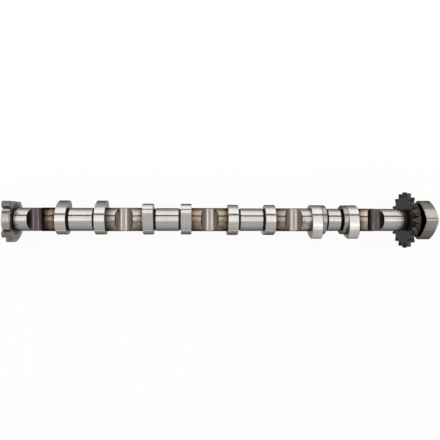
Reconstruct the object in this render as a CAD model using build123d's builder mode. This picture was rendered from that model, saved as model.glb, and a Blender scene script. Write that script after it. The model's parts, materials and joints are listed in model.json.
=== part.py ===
from build123d import *
from math import asin, atan2, cos, degrees, radians, sin, sqrt
import os

# Camshaft of a four-cylinder engine, forged, turned and ground as one piece of steel.
# It turns about X, with the sprocket at the +X end and the bolt notches open towards +Z.
# X = 0 is the middle of the thrust journal, between the lobes of the last cylinder.
# All sizes are in millimetres and degrees.

# Cylinders and their firing order
cylinder_pitch = 88.0
firing_order = (1, 3, 4, 2)
first_nose_angle = -33.0  # where the lobes of cylinder 1 point, from +Y towards +Z

# Lobes, two to a cylinder: base circle, round flanks and a rounded nose
lobe_spacing = 39.0
lobe_width = 11.0
base_radius = 15.75
cam_lift = 6.5
nose_radius = 8.0
flank_angle = 72.0  # from the nose to where the flank leaves the base circle
lobe_edge = 0.4

# Shaft, ground journals and the grinding undercuts at their ends
shaft_radius = 12.25
journal_radius = 12.0
undercut_radius = 11.4
undercut_width = 2.0
journal_edge = 0.4
front_undercut_width = 0.9
front_journal_length = 25.7
rear_journal_length = 29.0

# Thrust journal of the last cylinder, between two collars
collar_radius = 15.6
collar_width = 5.0
thrust_undercut_width = 2.2
collar_edge = 0.5

# Notches that let the cylinder-head bolts past the shaft
notch_radius = 9.2
notch_floor = 3.9  # height of the notch's floor above the axis
notch_length = 3 * shaft_radius

# Front flange: round below, with a land on top and an uneven ear at each side of it
flange_thickness = 8.0
flange_reach = 22.8  # from the middle of the first notch to the flange
flange_radius = 22.4
land_radius = 21.0
land_width = 21.8
slot_angle = 4.4  # the slots widen outwards
slot_radius = 19.5  # of the slots' floors
ear_top = 20.4
ear_corner = 3.6
ear_rounding = 0.8
left_ear_reach = 18.4
right_ear_shoulder = 18.3
right_ear_step = 7.5  # height of the step above the axis
right_ear_step_width = 4.9
right_ear_side = 9.0  # height of the upright side below the step
right_ear_slope = 6.1  # height of the sloping side below that

# Chain sprocket, with the teeth cut for rollers
chain_pitch = 9.525
roller_radius = 3.175
seat_clearance = 0.06
tooth_count = 18
tooth_height = 2.72  # from the pitch circle to the tip
tooth_flank_angle = 20.0
tooth_relief = 1.0  # how far each side of the tooth leans in at the tip
sprocket_width = 4.4

# Rear end: neck, sprocket, hub ring, groove and the cam that drives a fuel pump
rear_reach = 30.1  # from the middle of the last notch to the neck
neck_radius = 11.4
neck_width = 4.2
hub_radius = 18.5
hub_length = 8.1
hub_edge = 0.8
groove_radius = 12.0
groove_width = 3.6
pump_lobe_count = 4
pump_cam_radius = 21.0  # from the axis to a nose
pump_flank_reach = 18.4  # from the axis to the middle of a flank
pump_nose_radius = 5.0
pump_cam_width = 13.5
pump_cam_edge = 0.5

# Tapped hole in the rear end, and the turning centre at the other end
bolt_hole_radius = 5.1
bolt_hole_depth = 26.0
bolt_mouth_radius = 7.0
centre_radius = 2.0
centre_mouth_radius = 4.5
centre_depth = 6.5
centre_angle = 60.0

# Places along the axis
cylinder_count = len(firing_order)
cylinders = [(number - cylinder_count) * cylinder_pitch for number in range(1, cylinder_count + 1)]
notches = [middle + cylinder_pitch / 2 for middle in (cylinders[0] - cylinder_pitch, *cylinders)]
lobe_gap = lobe_spacing - lobe_width
flange_right = notches[0] - flange_reach
flange_left = flange_right - flange_thickness
neck_left = notches[-1] + rear_reach
sprocket_left = neck_left + neck_width
sprocket_right = sprocket_left + sprocket_width
hub_right = sprocket_right + hub_length
end_left = hub_right + groove_width
end_right = end_left + pump_cam_width


def journal_steps(middle):
    """Start, radius and broken edge of each step between the two lobes of a cylinder."""
    half = lobe_gap / 2
    return [
        (middle - half, undercut_radius, 0),
        (middle - half + undercut_width, journal_radius, journal_edge),
        (middle + half - undercut_width, undercut_radius, 0),
        (middle + half, shaft_radius, 0),
    ]


def thrust_steps(middle):
    """The same for the thrust journal, with a collar against each lobe."""
    half = lobe_gap / 2
    collar = half - collar_width
    journal = collar - thrust_undercut_width
    return [
        (middle - half, collar_radius, collar_edge),
        (middle - collar, undercut_radius, 0),
        (middle - journal, journal_radius, journal_edge),
        (middle + journal, undercut_radius, 0),
        (middle + collar, collar_radius, collar_edge),
        (middle + half, shaft_radius, 0),
    ]


# The shaft from front to rear: where each step starts, its radius and its broken edge
front_journal = flange_right + front_undercut_width
steps = [
    (flange_left, undercut_radius, 0),
    (front_journal, journal_radius, 0),
    (front_journal + front_journal_length, shaft_radius, 0),
]
for middle in cylinders[:-1]:
    steps += journal_steps(middle)
steps += thrust_steps(cylinders[-1])
steps += [
    (neck_left - rear_journal_length, journal_radius, 0),
    (neck_left, neck_radius, 0),
    (sprocket_left, hub_radius, hub_edge),
    (hub_right, groove_radius, 0),
]
step_ends = [start for start, radius, edge in steps[1:]] + [end_right]

shaft_outline = [(flange_left, 0)]
for (start, radius, edge), end in zip(steps, step_ends):
    if edge:
        shaft_outline.append((start, radius - edge))
    shaft_outline.append((start + edge, radius))
    shaft_outline.append((end - edge, radius))
    if edge:
        shaft_outline.append((end, radius - edge))
shaft_outline.append((end_right, 0))

# One lobe, with its nose along +Y
nose_distance = base_radius + cam_lift - nose_radius
flank_cos = cos(radians(flank_angle))
flank_sin = sin(radians(flank_angle))
flank_radius = (
    nose_distance**2 + base_radius**2 - nose_radius**2 - 2 * nose_distance * base_radius * flank_cos
) / (2 * (base_radius - nose_radius - nose_distance * flank_cos))
flank_offset = flank_radius - base_radius
flank_centre = (-flank_offset * flank_cos, -flank_offset * flank_sin)
nose_angle = degrees(atan2(-flank_centre[1], nose_distance - flank_centre[0]))

with BuildPart() as lobe:
    with BuildSketch(Plane.YZ.offset(-lobe_width / 2)):
        with BuildLine():
            CenterArc((0, 0), base_radius, flank_angle, 360 - 2 * flank_angle)
            CenterArc(flank_centre, flank_radius, nose_angle, flank_angle - nose_angle)
            CenterArc((nose_distance, 0), nose_radius, -nose_angle, 2 * nose_angle)
            CenterArc(
                (flank_centre[0], -flank_centre[1]), flank_radius, -flank_angle, flank_angle - nose_angle
            )
        make_face()
    extrude(amount=lobe_width)
    chamfer(lobe.edges().filter_by(Plane.YZ), lobe_edge)

# The pump's cam, with a nose straight up: round flanks that meet in rounded noses
pump_half_angle = 180 / pump_lobe_count
pump_nose_distance = pump_cam_radius - pump_nose_radius
pump_flank_depth = pump_flank_reach - pump_nose_radius
pump_flank_offset = (pump_nose_distance**2 - pump_flank_depth**2) / (
    2 * (pump_flank_depth - pump_nose_distance * cos(radians(pump_half_angle)))
)

with BuildPart() as pump_cam:
    with BuildSketch(Plane.YZ.offset(end_left)) as pump_outline:
        Circle(pump_flank_offset + pump_flank_reach)
        for place in PolarLocations(pump_flank_offset, pump_lobe_count, start_angle=90 + pump_half_angle):
            with Locations(place):
                Circle(pump_flank_offset + pump_flank_reach, mode=Mode.INTERSECT)
        fillet(pump_outline.vertices(), pump_nose_radius)
    extrude(amount=pump_cam_width)
    chamfer(pump_cam.edges().filter_by(Plane.YZ), pump_cam_edge)

# The chain sprocket, with a gap between two teeth straight down
pitch_radius = chain_pitch / (2 * sin(radians(180 / tooth_count)))
tip_radius = pitch_radius + tooth_height
seat_radius = roller_radius + seat_clearance
gap_cos = cos(radians(tooth_flank_angle))
gap_sin = sin(radians(tooth_flank_angle))
gap_top = 2 * tooth_height
gap_half_mouth = (seat_radius + gap_top * gap_sin) / gap_cos

with BuildSketch() as tooth_gap:
    Circle(seat_radius)
    Polygon(
        (-seat_radius * gap_sin, -seat_radius * gap_cos),
        (gap_top, -gap_half_mouth),
        (gap_top, gap_half_mouth),
        (-seat_radius * gap_sin, seat_radius * gap_cos),
        align=None,
    )

with BuildPart() as sprocket:
    with BuildSketch(Plane.YZ.offset(sprocket_left)):
        Circle(tip_radius)
        with PolarLocations(pitch_radius, tooth_count, start_angle=180 / tooth_count):
            add(tooth_gap.sketch, mode=Mode.SUBTRACT)
    extrude(amount=sprocket_width)
    with BuildSketch(Plane.XY):
        for side, inward in ((sprocket_left, 1), (sprocket_right, -1)):
            Polygon(
                (side, pitch_radius - tooth_height),
                (side + inward * tooth_relief, tip_radius),
                (side + inward * tooth_relief, tip_radius + tooth_height),
                (side - inward * tooth_relief, tip_radius + tooth_height),
                (side - inward * tooth_relief, pitch_radius - tooth_height),
                align=None,
            )
    revolve(axis=Axis.X, mode=Mode.SUBTRACT)

# The front flange, drawn as seen from the front end: Y to the left, Z up
def ear(*corners):
    """An ear of the flange, from the axis out to its rounded corners."""
    with BuildSketch() as outline:
        Polygon((0, 0), *corners, align=None)
        fillet(outline.vertices().sort_by_distance((0, 0, 0))[1:], ear_rounding)
    return outline.sketch


with BuildSketch() as land:
    Circle(land_radius)
    Rectangle(land_width, land_radius, align=(Align.CENTER, Align.MIN), mode=Mode.INTERSECT)

# One slot, pointing along the first axis of the sketch
slot_turn = 90 - degrees(asin(land_width / 2 / land_radius))
slot_cos = cos(radians(slot_angle / 2))
slot_sin = sin(radians(slot_angle / 2))
slot_end = 2 * land_radius
with BuildSketch() as slot:
    Polygon(
        (slot_radius * slot_cos, -slot_radius * slot_sin),
        (slot_end * slot_cos, -slot_end * slot_sin),
        (slot_end * slot_cos, slot_end * slot_sin),
        (slot_radius * slot_cos, slot_radius * slot_sin),
        align=None,
    )

left_ear = ear(
    (land_width / 2, ear_top),
    (left_ear_reach - ear_corner, ear_top),
    (left_ear_reach, ear_top - ear_corner / 2),
    (left_ear_reach, -sqrt(flange_radius**2 - left_ear_reach**2)),
)
right_ear_reach = right_ear_shoulder + right_ear_step_width
right_ear_bottom = right_ear_step - right_ear_side - right_ear_slope
right_ear = ear(
    (-land_width / 2, ear_top),
    (ear_corner - right_ear_shoulder, ear_top),
    (-right_ear_shoulder, ear_top - ear_corner / 2),
    (-right_ear_shoulder, right_ear_step),
    (-right_ear_reach, right_ear_step),
    (-right_ear_reach, right_ear_step - right_ear_side),
    (-sqrt(flange_radius**2 - right_ear_bottom**2), right_ear_bottom),
)

with BuildPart() as flange:
    with BuildSketch(Plane.YZ.offset(flange_left)):
        Circle(flange_radius)
        with Locations((left_ear_reach, 0)):
            Rectangle(2 * flange_radius, flange_radius, align=(Align.MAX, Align.MAX), mode=Mode.INTERSECT)
        add((land.sketch, left_ear, right_ear))
        with PolarLocations(0, 2, start_angle=slot_turn, angular_range=180 - 2 * slot_turn, endpoint=True):
            add(slot.sketch, mode=Mode.SUBTRACT)
    extrude(amount=flange_thickness)

with BuildPart() as camshaft:
    with BuildSketch(Plane.XY):
        with BuildLine():
            Polyline(*shaft_outline, close=True)
        make_face()
    revolve(axis=Axis.X)
    for number, middle in enumerate(cylinders, 1):
        turn = first_nose_angle - 360 / cylinder_count * firing_order.index(number)
        for side in (-1, 1):
            with Locations(Location((middle + side * lobe_spacing / 2, 0, 0), (turn, 0, 0))):
                add(lobe.part)
    add(sprocket.part)
    add(pump_cam.part)
    add(flange.part)
    for middle in notches:
        with Locations(Location((middle, 0, notch_floor + notch_radius), (90, 0, 0))):
            Cylinder(notch_radius, notch_length, mode=Mode.SUBTRACT)
    with Locations(Plane(origin=(end_right, 0, 0), z_dir=(1, 0, 0))):
        CounterSinkHole(bolt_hole_radius, bolt_mouth_radius, bolt_hole_depth, centre_angle)
    with Locations(Plane(origin=(flange_left, 0, 0), z_dir=(-1, 0, 0))):
        CounterSinkHole(centre_radius, centre_mouth_radius, centre_depth, centre_angle)

os.makedirs("parts", exist_ok=True)
camshaft.part.label = "camshaft"
export_step(camshaft.part, "parts/camshaft.step")
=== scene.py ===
import json
from math import asin, atan2, cos, pi, radians, sin, sqrt, tan
from types import SimpleNamespace

import bmesh
import bpy
import numpy as np
from bpy.props import FloatProperty, FloatVectorProperty, IntProperty, PointerProperty
from mathutils import Matrix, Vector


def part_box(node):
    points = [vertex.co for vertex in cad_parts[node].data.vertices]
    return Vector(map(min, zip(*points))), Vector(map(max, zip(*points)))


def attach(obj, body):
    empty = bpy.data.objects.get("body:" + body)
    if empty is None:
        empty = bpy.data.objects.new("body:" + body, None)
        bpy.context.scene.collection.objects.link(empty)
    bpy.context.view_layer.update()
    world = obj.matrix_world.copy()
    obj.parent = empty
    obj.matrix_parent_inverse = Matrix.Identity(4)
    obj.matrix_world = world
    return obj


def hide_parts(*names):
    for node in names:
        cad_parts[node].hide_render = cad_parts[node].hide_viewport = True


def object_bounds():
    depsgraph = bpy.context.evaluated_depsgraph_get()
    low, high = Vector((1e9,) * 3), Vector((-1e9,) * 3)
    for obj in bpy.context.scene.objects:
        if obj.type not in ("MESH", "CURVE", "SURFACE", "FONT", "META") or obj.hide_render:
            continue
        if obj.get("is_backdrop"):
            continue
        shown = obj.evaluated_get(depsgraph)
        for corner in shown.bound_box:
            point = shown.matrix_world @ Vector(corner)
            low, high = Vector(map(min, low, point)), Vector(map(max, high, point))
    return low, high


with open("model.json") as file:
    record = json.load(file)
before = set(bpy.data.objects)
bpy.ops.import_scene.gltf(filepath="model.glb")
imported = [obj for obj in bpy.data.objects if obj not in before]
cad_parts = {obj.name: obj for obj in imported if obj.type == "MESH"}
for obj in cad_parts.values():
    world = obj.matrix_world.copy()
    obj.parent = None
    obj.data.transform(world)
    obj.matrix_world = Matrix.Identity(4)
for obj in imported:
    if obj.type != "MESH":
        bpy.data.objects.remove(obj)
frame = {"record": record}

bl_info = {
    "name": "Camshaft",
    "version": (1, 0, 0),
    "blender": (4, 5, 0),
    "location": "View3D > Sidebar > Camshaft",
    "description": "Builds a ground and heat-tinted camshaft of a four-cylinder engine",
    "category": "Add Mesh",
}

# The shaft lies along X with the sprocket at +X, and its bolt notches open towards +Z.
# Angles round the shaft run from +Y towards +Z. Lengths are metres, written in millimetres.
MM = 0.001
NODE = "camshaft"

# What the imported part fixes: its ends, its bearings and the notches
mounts = {mount["name"]: mount for mount in frame["record"]["mounts"]}
openings = frame["record"]["physics"]["openings"]
front_corner, rear_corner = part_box(NODE)
front_end = front_corner.x
rear_end = rear_corner.x
cylinders = [
    mounts[name]["pos_m"][0] for name in ("bearing_one", "bearing_two", "bearing_three", "thrust_journal")
]
notches = np.array([sum(corner[0] for corner in opening["box_m"]) / 2 for opening in openings])
journal_size = mounts["front_journal"]["dims"]["r_mm"]
pump_cam_size = mounts["pump_cam"]["dims"]["r_mm"]
bolt_hole_size = mounts["end_bolt"]["dims"]["r_mm"]

# Grid sizes
SHAFT_COLUMNS = 192
NOTCH_ROWS = 41
LOBE_COLUMNS = 288
END_COLUMNS = 384
CORNER_STEPS = 5
ARC_STEPS = 24
SEAT_STEPS = 9
TIP_STEPS = 3
SPLIT_STEPS = 10
WELD = 1e-7
SHARP_ANGLE = radians(28)

# How deep the inner walls of the lobes and the sprocket, and the shaft's front end, lie in their neighbours
SUNK_WALL = 1.0 * MM
SUNK_END = 0.3 * MM

# Finishes of the shaft's steps, in the order of its materials
GROUND, FORGED, PAINTED_SHADE, NOTCHED, COLLARED, NECKED = range(6)

# Share of its reflection that the steel keeps at a glancing angle
EDGE_TINT = (0.03, 0.03, 0.03, 1.0)
SPROCKET_TINT = (0.45, 0.45, 0.45, 1.0)

# The stage, in metres: floor, panel above, panel at the side, lamps and the dark bar between the panels
FLOOR_REACH = 12.0
PANEL_PLACE, PANEL_LENGTH = -0.1, 2.4
OVERHEAD_HEIGHT = 1.2
OVERHEAD_NEAR, OVERHEAD_FAR = -0.36, 0.765
SIDE_DISTANCE = 1.1
SIDE_FOOT, SIDE_TOP = -0.02, 1.04
LAMP_PLACES = {"left_lamp": -0.48, "right_lamp": 0.18}
LAMP_HEIGHT = 0.62
LAMP_SIZE = (0.17, 0.056)
BAR_REACH = 2.0
BAR_GAP = 0.01

# The two low cards: how far from the axis, how far past the shaft's ends, their tops and grey levels,
# and the share of the pump cam's radius to which they rise beside it
CARD_DISTANCE = 34 * MM
CARD_FRONT, CARD_REAR = 30 * MM, 20 * MM
PALE_CARD_TOP, PALE_CARD_LEVEL = 4 * MM, 0.62
DARK_CARD_TOP, DARK_CARD_LEVEL = 7 * MM, 0.38
CARD_RISE = 0.8


def length(label, size, words):
    """A length property, its default written in millimetres."""
    return FloatProperty(name=label, description=words, default=size * MM, unit="LENGTH", precision=5)


def angle(label, degrees, words):
    """An angle property, its default written in degrees."""
    return FloatProperty(
        name=label, description=words, default=radians(degrees), subtype="ANGLE", unit="ROTATION"
    )


def colour(label, red, green, blue, words):
    """A colour property, its default written as linear red, green and blue."""
    return FloatVectorProperty(
        name=label, description=words, default=(red, green, blue), size=3, subtype="COLOR", min=0.0, max=1.0
    )


def amount(label, number, words):
    """A plain number property that isn't below 0."""
    return FloatProperty(name=label, description=words, default=number, min=0.0)


class ShaftSizes(bpy.types.PropertyGroup):
    """Sizes of the shaft, its journals, collars and notches."""

    shaft_radius: length("Shaft radius", 12.25, "Radius of the unground shaft")
    journal_radius: length("Journal radius", journal_size, "Radius of the ground journals")
    undercut_radius: length("Undercut radius", 11.4, "Radius of the grinding undercuts")
    undercut_width: length("Undercut width", 2.0, "Width of the grinding undercuts")
    journal_edge: length("Journal edge", 0.4, "Broken edge of the journals")
    front_undercut_width: length("Front undercut", 0.9, "Width of the undercut behind the flange")
    front_journal_length: length("Front journal", 25.7, "Length of the journal behind the flange")
    rear_journal_length: length("Rear journal", 29.0, "Length of the journal before the sprocket")
    collar_radius: length("Collar radius", 15.6, "Radius of the two thrust collars")
    collar_width: length("Collar width", 5.0, "Width of each thrust collar")
    collar_edge: length("Collar edge", 0.5, "Broken edge of the collars")
    thrust_undercut_width: length("Thrust undercut", 2.2, "Width of the undercuts of the thrust journal")
    notch_radius: length("Notch radius", 9.2, "Radius of the cutter that makes the notches")
    notch_floor: length("Notch floor", 3.9, "Height of the notches' floors above the axis")
    neck_radius: length("Neck radius", 11.4, "Radius of the neck before the sprocket")
    neck_width: length("Neck width", 4.2, "Width of the neck before the sprocket")


class LobeSizes(bpy.types.PropertyGroup):
    """Sizes of the lobes."""

    spacing: length("Spacing", 39.0, "Distance between the two lobes of a cylinder")
    width: length("Width", 11.0, "Width of a lobe")
    base_radius: length("Base radius", 15.75, "Radius of the base circle")
    lift: length("Lift", 6.5, "How far the nose stands over the base circle")
    nose_radius: length("Nose radius", 8.0, "Radius of the nose")
    flank_angle: angle("Flank angle", 72.0, "From the nose to where the flank leaves the base circle")
    first_turn: angle("First nose", -33.0, "Where the first cylinder's noses point")
    edge: length("Edge", 0.4, "Broken edge of the lobes")


class FlangeSizes(bpy.types.PropertyGroup):
    """Sizes of the front flange."""

    thickness: length("Thickness", 8.0, "Thickness of the flange")
    radius: length("Radius", 22.4, "Radius of the round lower part")
    land_radius: length("Land radius", 21.0, "Radius of the land on top")
    land_width: length("Land width", 21.8, "Width of the land on top")
    slot_radius: length("Slot radius", 19.5, "Radius of the floors of the two slots beside the land")
    slot_angle: angle("Slot angle", 4.4, "Opening angle of the two slots")
    ear_top: length("Ear top", 20.4, "Height of the ears above the axis")
    ear_corner: length("Ear corner", 3.6, "Width of the sloping upper corner of the ears")
    ear_rounding: length("Ear rounding", 0.8, "Rounding of the ears' corners")
    left_ear_reach: length("Left ear reach", 18.4, "Reach of the left ear")
    right_ear_shoulder: length("Right ear shoulder", 18.3, "Reach of the right ear's upper part")
    right_ear_step: length("Right ear step", 7.5, "Height of the right ear's step")
    right_ear_step_width: length("Right ear step width", 4.9, "Width of the right ear's step")
    right_ear_side: length("Right ear side", 9.0, "Height of the upright side below the step")
    right_ear_slope: length("Right ear slope", 6.1, "Height of the sloping side below that")
    edge: length("Edge", 0.5, "Rounded edge of the flange")
    centre_radius: length("Centre radius", 2.0, "Radius of the turning centre")
    centre_mouth: length("Centre mouth", 4.5, "Radius of the turning centre's mouth")
    centre_depth: length("Centre depth", 6.5, "Depth of the turning centre")


class SprocketSizes(bpy.types.PropertyGroup):
    """Sizes of the chain sprocket and the hub ring behind it."""

    tooth_count: IntProperty(name="Teeth", description="Number of teeth", default=18, min=8)
    chain_pitch: length("Chain pitch", 9.525, "Pitch of the roller chain")
    seat_radius: length("Seat radius", 3.235, "Radius of the seats for the chain's rollers")
    tooth_height: length("Tooth height", 2.72, "From the pitch circle to the tip")
    flank_angle: angle("Flank angle", 20.0, "Slope of the tooth flanks")
    relief: length("Relief", 0.3, "How far each side of the teeth leans in at the tip")
    width: length("Width", 4.4, "Width of the sprocket")
    hub_radius: length("Hub radius", 18.5, "Radius of the hub ring")
    hub_length: length("Hub length", 8.1, "Length of the hub ring")
    hub_edge: length("Hub edge", 0.8, "Broken edge of the hub ring")


class EndSizes(bpy.types.PropertyGroup):
    """Sizes of the groove, the pump's cam and the hole in its end."""

    groove_radius: length("Groove radius", 12.0, "Radius of the groove's floor")
    groove_width: length("Groove width", 3.6, "Width of the groove")
    lobe_count: IntProperty(name="Noses", description="Number of the cam's noses", default=4, min=2)
    radius: length("Radius", pump_cam_size, "From the axis to a nose")
    flank_reach: length("Flank reach", 18.4, "From the axis to the middle of a flank")
    nose_radius: length("Nose radius", 5.0, "Radius of the noses")
    width: length("Width", 13.5, "Width of the cam")
    edge: length("Edge", 0.5, "Broken edge of the cam")
    hole_radius: length("Hole radius", bolt_hole_size, "Radius of the hole in the end")
    hole_mouth: length("Hole mouth", 7.0, "Radius of the hole's mouth")
    hole_depth: length("Hole depth", 26.0, "Depth of the hole")
    mouth_angle: angle("Mouth angle", 60.0, "Opening angle of the hole's mouth and of the turning centre")


class Finish(bpy.types.PropertyGroup):
    """Colours of the camshaft's surfaces."""

    ground: colour("Ground steel", 0.51, 0.477, 0.459, "Journals")
    # Painted reflection: the collars are ground steel made darker than the journals, for the lobes' dark
    # sides that they reflect
    collar: colour("Collars", 0.36, 0.335, 0.315, "Thrust collars")
    lobe: colour("Lobes", 0.58, 0.555, 0.535, "Ground faces of the lobes")
    turned: colour("Turned sides", 0.15, 0.14, 0.13, "Sides of the lobes")
    # Painted shade: this near-black colour stands for the shade in the undercuts, the groove, the hole and
    # on the flange's rear face
    scale: colour("Scale", 0.024, 0.021, 0.018, "Undercuts and groove")
    forged: colour("Unground shaft", 0.51, 0.465, 0.42, "Plain steel of the shaft between the lobes")
    olive: colour("Olive", 0.28, 0.245, 0.195, "Greenish grey tempering colour")
    straw: colour("Straw", 0.30, 0.222, 0.15, "Light tempering colour")
    brown: colour("Brown", 0.22, 0.16, 0.105, "Dark tempering colour")
    violet: colour("Violet", 0.18, 0.15, 0.133, "Last tempering colour")
    milled: colour("Notches", 0.29, 0.26, 0.23, "Floors of the notches")
    scorched: colour("Scorched notches", 0.066, 0.055, 0.053, "First and last notch")
    cast: colour("Flange", 0.20, 0.185, 0.17, "Cast sides of the flange")
    land: colour("Land", 0.38, 0.352, 0.325, "Turned land of the flange")
    sprocket: colour("Sprocket", 0.072, 0.069, 0.068, "Dark sprocket")
    hub: colour("Hub ring", 0.055, 0.041, 0.041, "Hub ring")
    # Partly painted shade: dark brown heat colour, made darker for the shade between the rear journal and
    # the sprocket
    neck: colour("Neck", 0.10, 0.078, 0.066, "Neck before the sprocket")
    end: colour("Pump cam", 0.39, 0.355, 0.327, "Ground face of the pump cam")


class StageLook(bpy.types.PropertyGroup):
    """The camera, the floor and the lights."""

    floor_colour: colour("Floor", 0.93, 0.93, 0.93, "Colour of the floor")
    room_colour: colour("Room", 0.72, 0.72, 0.71, "Colour of the room round the stage")
    floor_fill: amount("Floor fill", 0.9, "Share of plain white in the floor, from 0 to 1")
    overhead_light: amount("Overhead", 0.66, "Brightness of the panel above")
    side_light: amount("Side", 0.92, "Brightness of the panel at the side")
    lamp_light: amount("Lamps", 1.9, "Brightness of the two small lamps")
    lens: amount("Lens", 39.3, "Focal length in millimetres on a 36 mm frame")
    camera_distance: length("Distance", 509.0, "From the camera to the axis")
    camera_place: length("Place", -120.7, "Where along the axis the camera looks")
    camera_side: length("Side", -0.38, "How far the camera stands towards +Y")
    camera_yaw: angle("Yaw", 3.84, "How far the camera looks towards the sprocket")
    camera_roll: angle("Roll", 0.11, "How far the camera is turned about its own axis")


GROUPS = {
    "camshaft_shaft": ShaftSizes,
    "camshaft_lobes": LobeSizes,
    "camshaft_flange": FlangeSizes,
    "camshaft_sprocket": SprocketSizes,
    "camshaft_end": EndSizes,
    "camshaft_finish": Finish,
    "camshaft_stage": StageLook,
}


def places(scene):
    """Where the flange, neck, sprocket, hub ring, groove and pump cam start and end along X."""
    end_left = rear_end - scene.camshaft_end.width
    hub_right = end_left - scene.camshaft_end.groove_width
    sprocket_right = hub_right - scene.camshaft_sprocket.hub_length
    sprocket_left = sprocket_right - scene.camshaft_sprocket.width
    return SimpleNamespace(
        flange_left=front_end,
        flange_right=front_end + scene.camshaft_flange.thickness,
        neck_left=sprocket_left - scene.camshaft_shaft.neck_width,
        sprocket_left=sprocket_left,
        sprocket_right=sprocket_right,
        hub_right=hub_right,
        end_left=end_left,
        end_right=rear_end,
    )


class Value:
    """A socket of a shader node that takes part in arithmetic. Each operation adds one Math node."""

    def __init__(self, tree, socket=None):
        self.tree = tree
        self.socket = socket

    def node(self, kind, settings=None, sockets=None, output=0):
        """Adds a node, sets its settings, then sets or links its sockets, and gives one of its outputs."""
        made = self.tree.nodes.new(kind)
        for name, setting in (settings or {}).items():
            if name == "stops":
                add_stops(made.color_ramp, setting)
            else:
                setattr(made, name, setting)
        for name, value in (sockets or {}).items():
            if isinstance(value, Value):
                self.tree.links.new(value.socket, made.inputs[name])
            else:
                made.inputs[name].default_value = value
        return Value(self.tree, made.outputs[output])

    def math(self, operation, *values):
        """Adds a Math node over these values."""
        return self.node("ShaderNodeMath", {"operation": operation}, dict(enumerate(values)))

    def __add__(self, other):
        return self.math("ADD", self, other)

    def __radd__(self, other):
        return self.math("ADD", other, self)

    def __sub__(self, other):
        return self.math("SUBTRACT", self, other)

    def __rsub__(self, other):
        return self.math("SUBTRACT", other, self)

    def __mul__(self, other):
        return self.math("MULTIPLY", self, other)

    def __rmul__(self, other):
        return self.math("MULTIPLY", other, self)

    def between(self, low, high):
        """0 up to low, 1 from high on, and a smooth rise between the two."""
        return self.node(
            "ShaderNodeMapRange",
            {"interpolation_type": "SMOOTHSTEP"},
            {"Value": self, "From Min": low, "From Max": high},
        )

    def mix(self, first, second):
        """A colour that goes from the first at 0 to the second at 1."""
        return self.node("ShaderNodeMix", {"data_type": "RGBA"}, {0: self, 6: first, 7: second}, output=2)

    def shaded(self, level):
        """This colour, made darker."""
        return self.node(
            "ShaderNodeMix",
            {"data_type": "RGBA", "blend_type": "MULTIPLY"},
            {0: 1.0, 6: self, 7: (level, level, level, 1.0)},
            output=2,
        )

    def noise(self, size, detail=2.0):
        """Soft random values about 0.5 over this vector, with spots of about this size."""
        return self.node("ShaderNodeTexNoise", None, {"Vector": self, "Scale": 1 / size, "Detail": detail})

    def toned(self, shade, dark, light, low=0.3, high=0.7):
        """A colour that goes from a darker to a lighter tone of one shade as this pattern rises."""
        return self.between(low, high).mix(rgba(shade, dark), rgba(shade, light))


def add_stops(ramp, stops):
    """Replaces a colour ramp's stops by these pairs of place and colour."""
    while len(ramp.elements) > 1:
        ramp.elements.remove(ramp.elements[-1])
    ramp.elements[0].position, ramp.elements[0].color = stops[0]
    for place, shade in stops[1:]:
        ramp.elements.new(place).color = shade


def rgba(shade, level=1.0):
    """A property's colour, made lighter or darker, as the four numbers of a colour socket."""
    return (shade[0] * level, shade[1] * level, shade[2] * level, 1.0)


def start_material(name, **settings):
    """A new material with its Principled shader and Object coordinates. Settings go to the shader."""
    material = bpy.data.materials.new(name)
    material.use_nodes = True
    tree = material.node_tree
    shader = tree.nodes["Principled BSDF"]
    for socket, value in settings.items():
        shader.inputs[socket.replace("_", " ")].default_value = value
    place = Value(tree).node("ShaderNodeTexCoord", output=3)
    return material, shader, place


def feed(shader, **sockets):
    """Links values to the shader's sockets."""
    for name, value in sockets.items():
        value.tree.links.new(value.socket, shader.inputs[name.replace("_", " ")])


def ring_lines(place, width, detail=3.0, press=0.02):
    """Fine lines of this width round the shaft: noise over coordinates pressed together across X."""
    scale = (1.0, press, press)
    pressed = place.node("ShaderNodeVectorMath", {"operation": "MULTIPLY"}, {0: place, 1: scale})
    return pressed.noise(width, detail)


def axis_place(place, axis):
    """One coordinate of a vector, in millimetres."""
    return place.node("ShaderNodeSeparateXYZ", None, {"Vector": place}, output=axis) * (1 / MM)


def distance(place):
    """Distance from the shaft's axis, in millimetres."""
    across = (0, 1 / MM, 1 / MM)
    flat = place.node("ShaderNodeVectorMath", {"operation": "MULTIPLY"}, {0: place, 1: across})
    return place.node("ShaderNodeVectorMath", {"operation": "LENGTH"}, {0: flat}, output=1)


def bumped(shader, height, depth):
    """Feeds the shader's normal from a height of this depth."""
    feed(shader, Normal=height.node("ShaderNodeBump", None, {"Distance": depth, "Height": height}))


def ground_steel(name, shade, roughness):
    """Ground steel: fine lines round the shaft in tone and gloss, and a faint uneven cast."""
    material, shader, place = start_material(name, Metallic=1.0, Specular_Tint=EDGE_TINT)
    lines = ring_lines(place, 0.35 * MM)
    cloud = place.noise(9 * MM)
    tone = lines * 0.5 + cloud * 0.5
    feed(shader, Base_Color=tone.toned(shade, 0.93, 1.05), Roughness=lines * 0.08 + (roughness - 0.04))
    bumped(shader, lines, 0.09 * MM)
    return material


def dull_steel(name, shade):
    """Steel left as turned or scaled: dull, with fine uneven grain."""
    material, shader, place = start_material(name, Metallic=1.0)
    grain = place.noise(1.2 * MM, 4.0)
    feed(shader, Base_Color=grain.toned(shade, 0.7, 1.3), Roughness=grain * 0.2 + 0.3)
    return material


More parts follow.
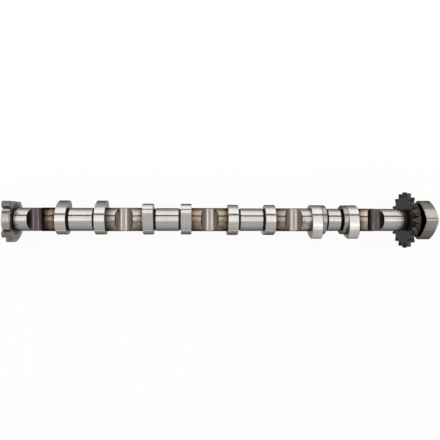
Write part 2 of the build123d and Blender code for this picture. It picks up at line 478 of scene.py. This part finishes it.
def heat_tinted(scene):
    """Unground shaft: tempering colours that change from notch to lobe, with ragged edges, thin scale and
    painted shade in patches on the -Y side.
    """
    material, shader, place = start_material("heat_tinted_shaft", Metallic=1.0, Specular_Tint=EDGE_TINT)
    finish, lobes = scene.camshaft_finish, scene.camshaft_lobes
    plain, olive, straw = finish.forged, finish.olive, finish.straw
    brown, violet = finish.brown, finish.violet
    # From front to rear, each gap between a notch and a lobe: the shades at its start, middle and end
    gaps = [
        ((brown, 0.35), (straw, 1.0), (brown, 0.4)),
        ((violet, 0.4), (violet, 1.5), (plain, 0.95)),
        ((plain, 0.95), (plain, 0.85), (brown, 0.5)),
        ((brown, 0.6), (straw, 1.1), (olive, 1.25)),
        ((olive, 1.3), (straw, 1.0), (brown, 0.3)),
        ((violet, 0.6), (violet, 1.6), (violet, 2.1)),
        ((plain, 1.0), (plain, 1.1), (plain, 0.75)),
        ((brown, 0.45), (straw, 1.3), (plain, 1.0)),
    ]
    places_in_gap = (0.12, 0.5, 0.88)
    outer = (lobes.spacing + lobes.width) / 2
    reach = scene.camshaft_shaft.notch_radius
    ends = []
    for middle, before, after in zip(cylinders, notches[:-1], notches[1:]):
        ends += [(before + reach, middle - outer), (middle + outer, after - reach)]
    stops = []
    for (start, end), shades in zip(ends, gaps):
        for part, (shade, tone) in zip(places_in_gap, shades):
            along = start + part * (end - start)
            stops.append(((along - front_end) / (rear_end - front_end), rgba(shade, tone)))
    ragged = axis_place(place, 0) + (place.noise(6 * MM) - 0.5) * 3.0
    share = (ragged - front_end / MM) * (MM / (rear_end - front_end))
    tint = place.node("ShaderNodeValToRGB", {"stops": stops}, {0: share})
    # Painted shade: soft darker patches on the -Y side, which lies away from the light
    patches = place.noise(6 * MM).between(0.42, 0.6) * (1 - axis_place(place, 1).between(-3.0, 4.0))
    scale = place.noise(1.6 * MM, 5.0)
    # The tint with painted shade in the patches on the -Y side
    side_shaded = (patches * 0.7).mix(tint, tint.shaded(0.45))
    thinned = scale.between(0.35, 0.62).mix(side_shaded.shaded(0.88), side_shaded)
    feed(shader, Base_Color=thinned, Roughness=scale * 0.12 + 0.12)
    bumped(shader, ring_lines(place, 0.35 * MM), 0.05 * MM)
    return material


def milled_notch(finish):
    """Floors of the notches: cutter lines across the shaft, the first and last one scorched."""
    material, shader, place = start_material("milled_notches", Metallic=1.0)
    along = axis_place(place, 0)
    first = along.math("LESS_THAN", along, cylinders[0] / MM)
    last = along.math("GREATER_THAN", along, cylinders[-1] / MM)
    lines = ring_lines(place, 0.5 * MM, press=0.03)
    bright = lines.toned(finish.milled, 0.88, 1.06)
    dark = lines.toned(finish.scorched, 0.7, 1.6, 0.35, 0.65)
    feed(shader, Base_Color=(first + last).mix(bright, dark), Roughness=lines * 0.06 + 0.07)
    bumped(shader, lines, 0.006 * MM)
    return material


def cast_flange(scene):
    """Flange: rough cast sides, the land on top turned bright, painted shade on the rear face below the
    land.
    """
    material, shader, place = start_material("cast_flange", Metallic=1.0)
    finish, sizes = scene.camshaft_finish, scene.camshaft_flange
    half_land = sizes.land_width / 2 / MM
    land_foot = sqrt((sizes.land_radius / MM) ** 2 - half_land**2)
    rear_face = places(scene).flange_right / MM
    shaft = scene.camshaft_shaft.journal_radius / MM
    grain = place.noise(1.1 * MM, 6.0)
    patches = place.noise(5 * MM, 3.0)
    cast = (grain * 0.6 + patches * 0.4).toned(finish.cast, 0.6, 1.5)
    across = place.math("ABSOLUTE", axis_place(place, 1))
    height = axis_place(place, 2)
    land = height.between(land_foot - 0.55, land_foot - 0.15) * place.math("LESS_THAN", across, half_land)
    bright = ring_lines(place, 0.4 * MM, 2.0, 0.03).toned(finish.land, 0.85, 1.05)
    # The painted shade on the rear face reaches a little past the shaft, and up to the land over it
    within_land = 1 - across.between(half_land - 1.4, half_land + 0.6)
    below_land = height.between(shaft - 4, shaft - 1) * within_land
    near_shaft = 1 - distance(place).between(shaft + 2.5, shaft + 6)
    at_rear = axis_place(place, 0).between(rear_face - 0.8, rear_face - 0.4)
    rear_face_shade = at_rear * place.math("MAXIMUM", below_land, near_shaft)
    # Painted shade: the rear face is near black where the shaft and the land over it shade it
    face = rear_face_shade.mix(cast, rgba(finish.scale, 1.5))
    feed(shader, Base_Color=land.mix(face, bright), Roughness=0.5 - land * 0.28)
    bumped(shader, grain * (1 - land), 0.35 * MM)
    return material


def dark_sprocket(scene):
    """Sprocket and hub ring: dark heat-treated steel, grained, plain on the teeth, browner on the hub."""
    material, shader, place = start_material("dark_sprocket", Metallic=1.0, Specular_Tint=SPROCKET_TINT)
    finish, sizes = scene.camshaft_finish, scene.camshaft_sprocket
    root = (pitch_radius(sizes) - sizes.tooth_height) / MM
    edge = places(scene).sprocket_right / MM
    grain = place.noise(1.5 * MM, 4.0)
    on_hub = axis_place(place, 0).between(edge, edge + 0.5)
    on_teeth = distance(place).between(root - 0.2, root + 2.3)
    sides = on_teeth.mix(grain.toned(finish.sprocket, 0.75, 1.25), rgba(finish.sprocket, 0.75))
    ring = grain.toned(finish.hub, 0.7, 1.3)
    feed(shader, Base_Color=on_hub.mix(sides, ring), Roughness=grain * 0.2 + 0.18)
    bumped(shader, grain, 0.03 * MM)
    return material


def brushed_end(scene):
    """Pump cam: coarse grinding lines. The groove before it has painted shade, nearly black up to the hub's
    radius.
    """
    material, shader, place = start_material("brushed_end", Metallic=1.0, Specular_Tint=EDGE_TINT)
    finish, hub = scene.camshaft_finish, scene.camshaft_sprocket.hub_radius / MM
    edge = places(scene).end_left / MM
    lines = ring_lines(place, 0.45 * MM, 4.0)
    past_groove = axis_place(place, 0).between(edge + 0.2, edge + 0.7)
    # Painted shade: the groove and the cam's left face are near black up to the hub's radius, turned steel
    # past it
    side = distance(place).between(hub - 1, hub).mix(rgba(finish.scale, 0.5), rgba(finish.turned))
    bright = lines.toned(finish.end, 0.78, 1.15, 0.25, 0.75)
    feed(shader, Base_Color=past_groove.mix(side, bright), Roughness=lines * 0.1 + 0.13)
    bumped(shader, lines, 0.05 * MM)
    return material


def rings(along, radius, around):
    """Points of a turned surface: at each place along X, radius times the cosine and sine of the angle.

    The three arrays are spread against each other to rows by columns."""
    along, radius, around = np.broadcast_arrays(along, radius, around)
    return np.stack([along, radius * np.cos(around), radius * np.sin(around)], axis=-1)


def profile_rings(profile, around):
    """Rings over a profile of places along X and radii, each one number or one to each angle."""
    along, radius = (
        np.stack([np.broadcast_to(corner[part], around.shape) for corner in profile]) for part in (0, 1)
    )
    return rings(along, radius, around)


def add_skin(name, points, materials, shading=None, closed=False):
    """Makes a piece of one or more grids of points, each row joined to the next and closed into a ring.

    The points are grids by rows by columns by 3. A closed grid also joins its last row to its first.
    Rows that run towards +X give outward faces. Doubled points are welded, so poles and seams close.
    Shading gives each quad its material's number."""
    grids, rows, columns = points.shape[:3]
    index = np.arange(grids * rows * columns).reshape(grids, rows, columns)
    if closed:
        index = np.concatenate([index, index[:, :1]], axis=1)
    beside = np.roll(index, -1, axis=2)
    quads = np.stack([index[:, :-1], beside[:, :-1], beside[:, 1:], index[:, 1:]], axis=-1)
    mesh = bpy.data.meshes.new(name)
    mesh.from_pydata(points.reshape(-1, 3), [], quads.reshape(-1, 4))
    for material in materials:
        mesh.materials.append(material)
    if shading is not None:
        numbers = np.broadcast_to(shading, quads.shape[:3])
        mesh.polygons.foreach_set("material_index", np.ascontiguousarray(numbers, dtype=np.int32).ravel())
    weld = bmesh.new()
    weld.from_mesh(mesh)
    bmesh.ops.remove_doubles(weld, verts=weld.verts, dist=WELD)
    weld.to_mesh(mesh)
    weld.free()
    mesh.polygons.foreach_set("use_smooth", np.ones(len(mesh.polygons), dtype=bool))
    mesh.set_sharp_from_angle(angle=SHARP_ANGLE)
    piece = bpy.data.objects.new(name, mesh)
    bpy.context.scene.collection.objects.link(piece)
    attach(piece, "root")
    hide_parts(NODE)


def shaft_steps(sizes, lobes, place):
    """The shaft's steps from front to rear: where each starts, its radius, broken edge and finish."""
    half = (lobes.spacing - lobes.width) / 2
    forged = (sizes.shaft_radius, 0, FORGED)
    # The undercuts take the near-black colour of painted shade in recesses
    undercut = (sizes.undercut_radius, 0, PAINTED_SHADE)
    journal = (sizes.journal_radius, sizes.journal_edge, GROUND)
    end_journal = (sizes.journal_radius, 0, GROUND)
    collar = (sizes.collar_radius, sizes.collar_edge, COLLARED)
    front = place.flange_right + sizes.front_undercut_width
    steps = [
        (place.flange_right - SUNK_END, *undercut),
        (front, *end_journal),
        (front + sizes.front_journal_length, *forged),
    ]
    for middle in cylinders[:-1]:
        steps += [
            (middle - half, *undercut),
            (middle - half + sizes.undercut_width, *journal),
            (middle + half - sizes.undercut_width, *undercut),
            (middle + half, *forged),
        ]
    middle = cylinders[-1]
    inner = half - sizes.collar_width
    thrust = inner - sizes.thrust_undercut_width
    steps += [
        (middle - half, *collar),
        (middle - inner, *undercut),
        (middle - thrust, *journal),
        (middle + thrust, *undercut),
        (middle + inner, *collar),
        (middle + half, *forged),
        (place.neck_left - sizes.rear_journal_length, *end_journal),
        (place.neck_left, sizes.neck_radius, 0, NECKED),
    ]
    return steps


def shaft_profile(steps, end):
    """Corners of the outline over these steps up to the end, as places and radii, with broken edges."""
    ends = [step[0] for step in steps[1:]] + [end]
    corners = [(steps[0][0], 0)]
    for (start, radius, edge, finish), stop in zip(steps, ends):
        low = radius - edge
        corners += [(start, low), (start + edge, radius), (stop - edge, radius), (stop, low)]
    corners.append((end, 0))
    return np.array(corners).T


class CAMSHAFT_OT_shaft(bpy.types.Operator):
    """Build the shaft with its journals, undercuts, thrust collars and bolt notches"""

    bl_idname = "camshaft.shaft"
    bl_label = "Shaft"

    def execute(self, context):
        scene = context.scene
        sizes = scene.camshaft_shaft
        place = places(scene)
        steps = shaft_steps(sizes, scene.camshaft_lobes, place)
        along, radius = shaft_profile(steps, place.sprocket_right)
        # Rows of each notch crowd towards its ends, where its walls are steep
        swing = np.sin(np.linspace(-pi / 2, pi / 2, NOTCH_ROWS))
        cutter_height = sizes.notch_floor + sizes.notch_radius
        reach = np.sqrt(sizes.notch_radius**2 - (cutter_height - sizes.shaft_radius) ** 2)
        notch_rows = (notches[:, None] + reach * swing).ravel()
        all_rows = np.concatenate([along, notch_rows])
        all_radii = np.concatenate([radius, np.interp(notch_rows, along, radius)])
        order = np.argsort(all_rows, kind="stable")
        along, radius = all_rows[order], all_radii[order]
        # The round cutter's floor, and the half angle at which it leaves the shaft
        offset = np.abs(along[:, None] - notches)
        cut = np.where(
            offset < sizes.notch_radius,
            cutter_height - np.sqrt(np.clip(sizes.notch_radius**2 - offset**2, 0, None)),
            np.inf,
        ).min(axis=1)
        lip = np.arccos(np.clip(cut / np.maximum(radius, WELD), -1, 1))[:, None]
        # Columns run from one lip round to the other; the last strip closes across the notch's floor
        turn = np.linspace(0, 1, SHAFT_COLUMNS + 1)
        points = rings(along[:, None], radius[:, None], pi / 2 + lip + turn * (2 * pi - 2 * lip))
        middles = (along[:-1] + along[1:]) / 2
        starts = np.array([step[0] for step in steps])
        finishes = np.array([step[3] for step in steps])
        shading = finishes[np.searchsorted(starts, middles, side="right") - 1]
        shading = np.repeat(shading[:, None], SHAFT_COLUMNS + 1, axis=1)
        shading[:, -1] = NOTCHED
        finish = scene.camshaft_finish
        materials = [
            ground_steel("ground_journals", finish.ground, 0.15),
            heat_tinted(scene),
            # Undercuts: painted shade in near black
            dull_steel("scaled_undercuts", finish.scale),
            milled_notch(finish),
            # Collars: ground steel darkened as a painted reflection of the lobes' dark sides
            ground_steel("ground_collars", finish.collar, 0.22),
            # The neck: dark brown heat colour with painted shade between the journal and the sprocket
            dull_steel("dark_neck", finish.neck),
        ]
        add_skin("camshaft_shaft", points[None], materials, shading)
        return {"FINISHED"}


def cam_outline(around, base, lift, nose, flank, count=1):
    """Radius of a cam at angles from a nose: nose circle, round flank and base circle.

    A circle of radius q whose centre is at distance d from the axis is seen at d cos a plus
    the root of q squared less d squared sin a squared, with a the angle from the centre's direction.
    The flank circle touches the base circle at the flank angle, and the nose circle too.
    With more than one nose, the outline repeats."""
    centre = base + lift - nose
    flank_radius = (centre**2 + base**2 - nose**2 - 2 * centre * base * cos(flank)) / (
        2 * (base - nose - centre * cos(flank))
    )
    behind = flank_radius - base
    nose_end = atan2(behind * sin(flank), centre + behind * cos(flank))
    nose_edge = atan2(nose * sin(nose_end), centre + nose * cos(nose_end))
    half = pi / count
    away = np.abs((around + half) % (2 * half) - half)
    on_nose = centre * np.cos(away) + np.sqrt(np.clip(nose**2 - (centre * np.sin(away)) ** 2, 0, None))
    from_flank = away - flank
    on_flank = np.sqrt(flank_radius**2 - (behind * np.sin(from_flank)) ** 2) - behind * np.cos(from_flank)
    return np.select([away < nose_edge, away < flank], [on_nose, on_flank], base)


class CAMSHAFT_OT_lobes(bpy.types.Operator):
    """Build the eight lobes, a pair to each cylinder, turned by the firing order"""

    bl_idname = "camshaft.lobes"
    bl_label = "Lobes"

    firing_order = (1, 3, 4, 2)

    def execute(self, context):
        sizes = context.scene.camshaft_lobes
        around = np.linspace(0, 2 * pi, LOBE_COLUMNS, endpoint=False)
        outline = cam_outline(around, sizes.base_radius, sizes.lift, sizes.nose_radius, sizes.flank_angle)
        inside = context.scene.camshaft_shaft.undercut_radius - SUNK_WALL
        half, edge = sizes.width / 2, sizes.edge
        profile = [
            (-half, inside), (-half, outline - edge), (edge - half, outline),
            (half - edge, outline), (half, outline - edge), (half, inside),
        ]
        lobes = []
        for number, middle in enumerate(cylinders, 1):
            turn = sizes.first_turn - 2 * pi / len(cylinders) * self.firing_order.index(number)
            for side in (-1, 1):
                place = middle + side * sizes.spacing / 2
                moved = [(place + along, radius) for along, radius in profile]
                lobes.append(profile_rings(moved, around + turn))
        finish = context.scene.camshaft_finish
        materials = [
            ground_steel("ground_lobes", finish.lobe, 0.17),
            dull_steel("turned_sides", finish.turned),
        ]
        # By strips of the profile: the sides and the hidden inner wall are turned, the rest is ground
        shading = np.array([1, 0, 0, 0, 1, 1])[:, None]
        add_skin("camshaft_lobes", np.stack(lobes), materials, shading, closed=True)
        return {"FINISHED"}


def rounded(corners, rounding):
    """Points of an outline through these corners, each rounded by a quadratic curve.

    The curve runs from a point before the corner to a point after it, with the corner as its control."""
    corners = np.array(corners)
    size = np.array(rounding)[:, None]
    before = np.roll(corners, 1, axis=0) - corners
    after = np.roll(corners, -1, axis=0) - corners
    start = corners + size * before / np.linalg.norm(before, axis=1)[:, None]
    end = corners + size * after / np.linalg.norm(after, axis=1)[:, None]
    step = np.linspace(0, 1, CORNER_STEPS)[None, :, None]
    curve = (
        (1 - step) ** 2 * start[:, None] + 2 * step * (1 - step) * corners[:, None] + step**2 * end[:, None]
    )
    return curve.reshape(-1, 2)


def flange_outline(sizes):
    """The flange's outline round the axis: left ear, slot, land, slot, right ear and lower arc.

    Corners of the ears are rounded; the land and the lower part are arcs; the slots have radial sides."""
    half = sizes.land_width / 2
    reach = sizes.right_ear_shoulder + sizes.right_ear_step_width
    side = sizes.right_ear_step - sizes.right_ear_side
    left_foot = -sqrt(sizes.radius**2 - sizes.left_ear_reach**2)
    right_foot = side - sizes.right_ear_slope
    right_root = sqrt(sizes.radius**2 - right_foot**2)
    slot = asin(half / sizes.land_radius)
    lean = sizes.slot_angle / 2

    def polar(radius, from_top):
        """Points at this radius and these angles from the top, towards -Y."""
        return np.stack([-radius * np.sin(from_top), radius * np.cos(from_top)], axis=-1)

    ear_wall = sizes.ear_top / cos(slot + lean)
    left = [
        (sizes.left_ear_reach, sizes.ear_top - sizes.ear_corner / 2),
        (sizes.left_ear_reach - sizes.ear_corner, sizes.ear_top),
    ]
    top = np.concatenate([
        polar(np.array([ear_wall, sizes.slot_radius]), -slot - lean),
        polar(sizes.slot_radius, np.array([lean - slot])),
        polar(sizes.land_radius, np.linspace(lean - slot, slot - lean, ARC_STEPS)),
        polar(sizes.slot_radius, np.array([slot - lean])),
        polar(np.array([sizes.slot_radius, ear_wall]), slot + lean),
    ])
    right = [
        (sizes.ear_corner - sizes.right_ear_shoulder, sizes.ear_top),
        (-sizes.right_ear_shoulder, sizes.ear_top - sizes.ear_corner / 2),
        (-sizes.right_ear_shoulder, sizes.right_ear_step),
        (-reach, sizes.right_ear_step),
        (-reach, side),
    ]
    first = atan2(right_root, right_foot)
    last = 2 * pi - atan2(sizes.left_ear_reach, left_foot)
    lower = polar(sizes.radius, np.linspace(first, last, 2 * ARC_STEPS))
    corners = np.concatenate([left, top, right, lower])
    rounding = np.concatenate([
        np.full(len(left), sizes.ear_rounding), np.zeros(len(top)),
        np.full(len(right), sizes.ear_rounding), np.zeros(len(lower)),
    ])
    outline = rounded(corners, rounding)
    outline = outline[np.linalg.norm(outline - np.roll(outline, 1, axis=0), axis=1) > WELD]
    # Each run is split, so that the turning centre has enough columns to be round
    step = np.linspace(0, 1, SPLIT_STEPS, endpoint=False)[None, :, None]
    run = np.roll(outline, -1, axis=0) - outline
    return (outline[:, None] + step * run[:, None]).reshape(-1, 2)


class CAMSHAFT_OT_flange(bpy.types.Operator):
    """Build the front flange with its land, uneven ears and turning centre"""

    bl_idname = "camshaft.flange"
    bl_label = "Front flange"

    def execute(self, context):
        scene = context.scene
        sizes = scene.camshaft_flange
        place = places(scene)
        outline = flange_outline(sizes)
        radius = np.linalg.norm(outline, axis=1)
        around = np.arctan2(outline[:, 1], outline[:, 0])
        cone = (sizes.centre_mouth - sizes.centre_radius) / tan(scene.camshaft_end.mouth_angle / 2)
        left, right = place.flange_left, place.flange_right
        profile = [
            (left + sizes.centre_depth, 0), (left + sizes.centre_depth, sizes.centre_radius),
            (left + cone, sizes.centre_radius), (left, sizes.centre_mouth),
            (left, radius - sizes.edge), (left + sizes.edge, radius),
            (right - sizes.edge, radius), (right, radius - sizes.edge), (right, 0),
        ]
        points = profile_rings(profile, around)
        add_skin("camshaft_flange", points[None], [cast_flange(scene)])
        return {"FINISHED"}


def pitch_radius(sizes):
    """Radius of the circle through the chain's pins: half the pitch over the sine of half a tooth's turn."""
    return sizes.chain_pitch / (2 * sin(pi / sizes.tooth_count))


def tooth_outline(sizes):
    """Angles and radii of the sprocket's outline, seat by seat.

    In a seat the ray from the axis meets the roller's circle, p cos b less the root of s squared less
    p squared sin b squared; past the touching point a straight flank runs out to the tip circle."""
    pitch = pitch_radius(sizes)
    seat, slope = sizes.seat_radius, sizes.flank_angle
    tip = pitch + sizes.tooth_height
    inner = np.array([pitch - seat * sin(slope), seat * cos(slope)])
    run = np.array([cos(slope), sin(slope)])
    # How far along the flank it meets the tip circle
    reach = -inner @ run + np.sqrt((inner @ run) ** 2 - inner @ inner + tip**2)
    corner = inner + reach * run
    touch, top = atan2(inner[1], inner[0]), atan2(corner[1], corner[0])
    in_seat = np.linspace(-touch, touch, SEAT_STEPS)
    on_tip = np.linspace(top, 2 * pi / sizes.tooth_count - top, TIP_STEPS)
    on_arc = pitch * np.cos(in_seat) - np.sqrt(seat**2 - (pitch * np.sin(in_seat)) ** 2)
    one_angle = np.concatenate([in_seat, on_tip])
    one_radius = np.concatenate([on_arc, np.full(TIP_STEPS, tip)])
    turns = (np.arange(sizes.tooth_count) + 0.5) * 2 * pi / sizes.tooth_count
    return (turns[:, None] + one_angle).ravel(), np.tile(one_radius, sizes.tooth_count)


class CAMSHAFT_OT_sprocket(bpy.types.Operator):
    """Build the chain sprocket and the hub ring behind it"""

    bl_idname = "camshaft.sprocket"
    bl_label = "Sprocket"

    def execute(self, context):
        scene = context.scene
        sizes = scene.camshaft_sprocket
        place = places(scene)
        around, radius = tooth_outline(sizes)
        # The teeth lean in from as far below the pitch circle as their tips stand above it
        root = pitch_radius(sizes) - sizes.tooth_height
        lean = sizes.relief * np.clip((radius - root) / (2 * sizes.tooth_height), 0, None)
        foot = np.minimum(radius, root)
        inside = scene.camshaft_shaft.neck_radius - SUNK_WALL
        left, right, back = place.sprocket_left, place.sprocket_right, place.hub_right
        profile = [
            (left, inside), (left, foot), (left + lean, radius), (right - lean, radius), (right, foot),
            (right, sizes.hub_radius), (back - sizes.hub_edge, sizes.hub_radius),
            (back, sizes.hub_radius - sizes.hub_edge), (back, inside),
        ]
        points = profile_rings(profile, around)
        add_skin("camshaft_sprocket", points[None], [dark_sprocket(scene)], closed=True)
        return {"FINISHED"}


class CAMSHAFT_OT_end(bpy.types.Operator):
    """Build the groove, the pump's cam and the hole in its end"""

    bl_idname = "camshaft.end"
    bl_label = "Pump cam"

    def execute(self, context):
        scene = context.scene
        sizes = scene.camshaft_end
        place = places(scene)
        left, right = place.end_left, place.end_right
        cone = (sizes.hole_mouth - sizes.hole_radius) / tan(sizes.mouth_angle / 2)
        start = place.sprocket_right
        # One nose points straight up
        around = np.linspace(0, 2 * pi, END_COLUMNS, endpoint=False) + pi / 2
        lift = sizes.radius - sizes.flank_reach
        count = sizes.lobe_count
        outline = cam_outline(
            around - pi / 2, sizes.flank_reach, lift, sizes.nose_radius, pi / count, count
        )
        profile = [
            (start, 0), (start, sizes.groove_radius), (left, sizes.groove_radius),
            (left, outline - sizes.edge), (left + sizes.edge, outline),
            (right - sizes.edge, outline), (right, outline - sizes.edge), (right, sizes.hole_mouth),
            (right - cone, sizes.hole_radius), (right - sizes.hole_depth, sizes.hole_radius),
            (right - sizes.hole_depth, 0),
        ]
        points = profile_rings(profile, around)
        finish = scene.camshaft_finish
        materials = [
            brushed_end(scene),
            dull_steel("turned_end", finish.land),
            # The hole is near black: painted shade inside it
            dull_steel("dark_hole", finish.scale),
        ]
        # By strips of the profile: groove and cam, then the end face with the hole's mouth, then the hole
        shading = np.array([0, 0, 0, 0, 0, 0, 1, 1, 2, 2])[:, None]
        add_skin("camshaft_end", points[None], materials, shading)
        return {"FINISHED"}


def add_panel(name, brightness, middle, turn, size):
    """A light panel turned about X from facing down. Its power is brightness times pi times its area."""
    light = bpy.data.lights.new(name, "AREA")
    light.shape = "RECTANGLE"
    light.size, light.size_y = size
    light.energy = brightness * pi * size[0] * size[1]
    panel = bpy.data.objects.new(name, light)
    panel.location = middle
    panel.rotation_euler = (turn, 0, 0)
    panel.visible_camera = False
    bpy.context.scene.collection.objects.link(panel)


def add_card(name, corners, level):
    """A flat card with these corners and grey level, which only reflections show."""
    mesh = bpy.data.meshes.new(name)
    mesh.from_pydata(corners, [], [tuple(range(len(corners)))])
    material = bpy.data.materials.new(name)
    material.use_nodes = True
    shader = material.node_tree.nodes["Principled BSDF"]
    shader.inputs["Base Color"].default_value = (0, 0, 0, 1)
    shader.inputs["Specular IOR Level"].default_value = 0.0
    shader.inputs["Emission Color"].default_value = (level, level, level, 1)
    shader.inputs["Emission Strength"].default_value = 1.0
    mesh.materials.append(material)
    card = bpy.data.objects.new(name, mesh)
    card.visible_camera = card.visible_diffuse = card.visible_shadow = False
    bpy.context.scene.collection.objects.link(card)
    card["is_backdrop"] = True


class CAMSHAFT_OT_stage(bpy.types.Operator):
    """Set up the floor, the light panels and the camera"""

    bl_idname = "camshaft.stage"
    bl_label = "Stage"

    def execute(self, context):
        scene = context.scene
        look = scene.camshaft_stage
        place = places(scene)
        self.add_floor(scene, look, place)
        self.add_lights(scene, look)
        self.add_camera(scene, look)
        scene.view_settings.view_transform = "Standard"
        return {"FINISHED"}

    def add_floor(self, scene, look, place):
        """A pale floor under the sprocket and the flange, on which the shaft lies at a slight slope."""
        sprocket_foot = front_corner.z
        drop = -scene.camshaft_flange.radius - sprocket_foot
        slope = drop / (place.flange_left - place.sprocket_left)
        along = np.array([-1, 1, 1, -1]) * FLOOR_REACH
        across = np.array([-1, -1, 1, 1]) * FLOOR_REACH
        height = sprocket_foot + slope * (along - place.sprocket_left)
        mesh = bpy.data.meshes.new("floor")
        mesh.from_pydata(np.stack([along, across, height], axis=-1), [], [(0, 1, 2, 3)])
        material = bpy.data.materials.new("pale_floor")
        material.use_nodes = True
        tree = material.node_tree
        shader = tree.nodes["Principled BSDF"]
        shader.inputs["Base Color"].default_value = rgba(look.floor_colour)
        shader.inputs["Roughness"].default_value = 0.9
        shader.inputs["Specular IOR Level"].default_value = 0.0
        start = Value(tree)
        camera = start.node("ShaderNodeLightPath", output=0)
        glossy = start.node("ShaderNodeLightPath", output=3)
        glass = start.node("ShaderNodeLightPath", output=6)
        white = start.node("ShaderNodeEmission", None, {"Color": (1, 1, 1, 1), "Strength": 1.0})
        seen = camera.math("MINIMUM", camera + glossy + glass, 1.0)
        plain = Value(tree, shader.outputs[0])
        surface = start.node("ShaderNodeMixShader", None, {0: seen * look.floor_fill, 1: plain, 2: white})
        tree.links.new(surface.socket, tree.nodes["Material Output"].inputs["Surface"])
        mesh.materials.append(material)
        floor = bpy.data.objects.new("floor", mesh)
        scene.collection.objects.link(floor)
        floor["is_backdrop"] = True

    def add_lights(self, scene, look):
        """A panel above and one beside it with a dark bar between, two lamps, two cards and a grey room."""
        above = (PANEL_PLACE, (OVERHEAD_NEAR + OVERHEAD_FAR) / 2, OVERHEAD_HEIGHT)
        beside = (PANEL_PLACE, SIDE_DISTANCE, (SIDE_FOOT + SIDE_TOP) / 2)
        above_size = (PANEL_LENGTH, OVERHEAD_FAR - OVERHEAD_NEAR)
        beside_size = (PANEL_LENGTH, SIDE_TOP - SIDE_FOOT)
        add_panel("overhead_panel", look.overhead_light, above, 0, above_size)
        add_panel("side_panel", look.side_light, beside, radians(-90), beside_size)
        for name, along in LAMP_PLACES.items():
            add_panel(name, look.lamp_light, (along, 0, LAMP_HEIGHT), 0, LAMP_SIZE)
        bar = [(OVERHEAD_FAR, OVERHEAD_HEIGHT), (SIDE_DISTANCE - BAR_GAP, SIDE_TOP)]
        bar_ends = [(-BAR_REACH, *bar[0]), (BAR_REACH, *bar[0]), (BAR_REACH, *bar[1]), (-BAR_REACH, *bar[1])]
        add_card("dark_bar", bar_ends, 0.0)
        self.add_low_card(scene, "pale_card", CARD_DISTANCE, PALE_CARD_TOP, PALE_CARD_LEVEL)
        self.add_low_card(scene, "dark_card", -CARD_DISTANCE, DARK_CARD_TOP, DARK_CARD_LEVEL)
        world = bpy.data.worlds.new("grey_room")
        world.use_nodes = True
        tree = world.node_tree
        way = Value(tree).node("ShaderNodeTexCoord")
        height = way.node("ShaderNodeSeparateXYZ", None, {"Vector": way}, output=2)
        # The room is darker near the floor
        shade = height.between(-0.1, 0.6).mix(rgba(look.room_colour, 0.6), rgba(look.room_colour))
        tree.links.new(shade.socket, tree.nodes["Background"].inputs["Color"])
        scene.world = world

    def add_low_card(self, scene, name, across, top, level):
        """A low card on the floor beside the shaft, which is taller from the sprocket on."""
        foot, cam_top = front_corner.z, scene.camshaft_end.radius * CARD_RISE
        left, right = front_end - CARD_FRONT, rear_end + CARD_REAR
        rise = mounts["chain_sprocket"]["pos_m"][0]
        edge = [(left, foot), (right, foot), (right, cam_top), (rise, cam_top), (rise, top), (left, top)]
        add_card(name, [(along, across, height) for along, height in edge], level)

    def add_camera(self, scene, look):
        """A camera over the shaft that looks down, with +X to the right and +Y up in its picture."""
        camera = bpy.data.cameras.new("camera")
        camera.lens = look.lens
        holder = bpy.data.objects.new("camera", camera)
        yaw, away = look.camera_yaw, look.camera_distance
        stand = (look.camera_place - away * sin(yaw), look.camera_side, away * cos(yaw))
        turned = Matrix.Rotation(-yaw, 4, "Y") @ Matrix.Rotation(look.camera_roll, 4, "Z")
        holder.matrix_world = Matrix.Translation(stand) @ turned
        scene.collection.objects.link(holder)
        scene.camera = holder


class CAMSHAFT_PT_panel(bpy.types.Panel):
    """Lists the pieces and the stage, with their sizes and colours"""

    bl_idname = "CAMSHAFT_PT_panel"
    bl_label = "Camshaft"
    bl_space_type = "VIEW_3D"
    bl_region_type = "UI"
    bl_category = "Camshaft"

    def draw(self, context):
        for operator in OPERATORS:
            self.layout.operator(operator.bl_idname)
        for name, group in GROUPS.items():
            box = self.layout.box()
            box.label(text=group.__name__)
            for key in group.__annotations__:
                box.prop(getattr(context.scene, name), key)


OPERATORS = (
    CAMSHAFT_OT_shaft,
    CAMSHAFT_OT_lobes,
    CAMSHAFT_OT_flange,
    CAMSHAFT_OT_sprocket,
    CAMSHAFT_OT_end,
    CAMSHAFT_OT_stage,
)


def register():
    for group in GROUPS.values():
        bpy.utils.register_class(group)
    for name, group in GROUPS.items():
        setattr(bpy.types.Scene, name, PointerProperty(type=group))
    for operator in OPERATORS:
        bpy.utils.register_class(operator)
    bpy.utils.register_class(CAMSHAFT_PT_panel)


def unregister():
    bpy.utils.unregister_class(CAMSHAFT_PT_panel)
    for operator in reversed(OPERATORS):
        bpy.utils.unregister_class(operator)
    for name, group in GROUPS.items():
        delattr(bpy.types.Scene, name)
        bpy.utils.unregister_class(group)


def corners():
    """The shown object's lowest and highest corner as plain lists."""
    return [list(corner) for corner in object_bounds()]


def main():
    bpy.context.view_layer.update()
    register()
    bpy.ops.camshaft.shaft()
    bpy.ops.camshaft.lobes()
    bpy.ops.camshaft.flange()
    bpy.ops.camshaft.sprocket()
    bpy.ops.camshaft.end()
    bpy.ops.camshaft.stage()


if __name__ == "__main__":
    main()
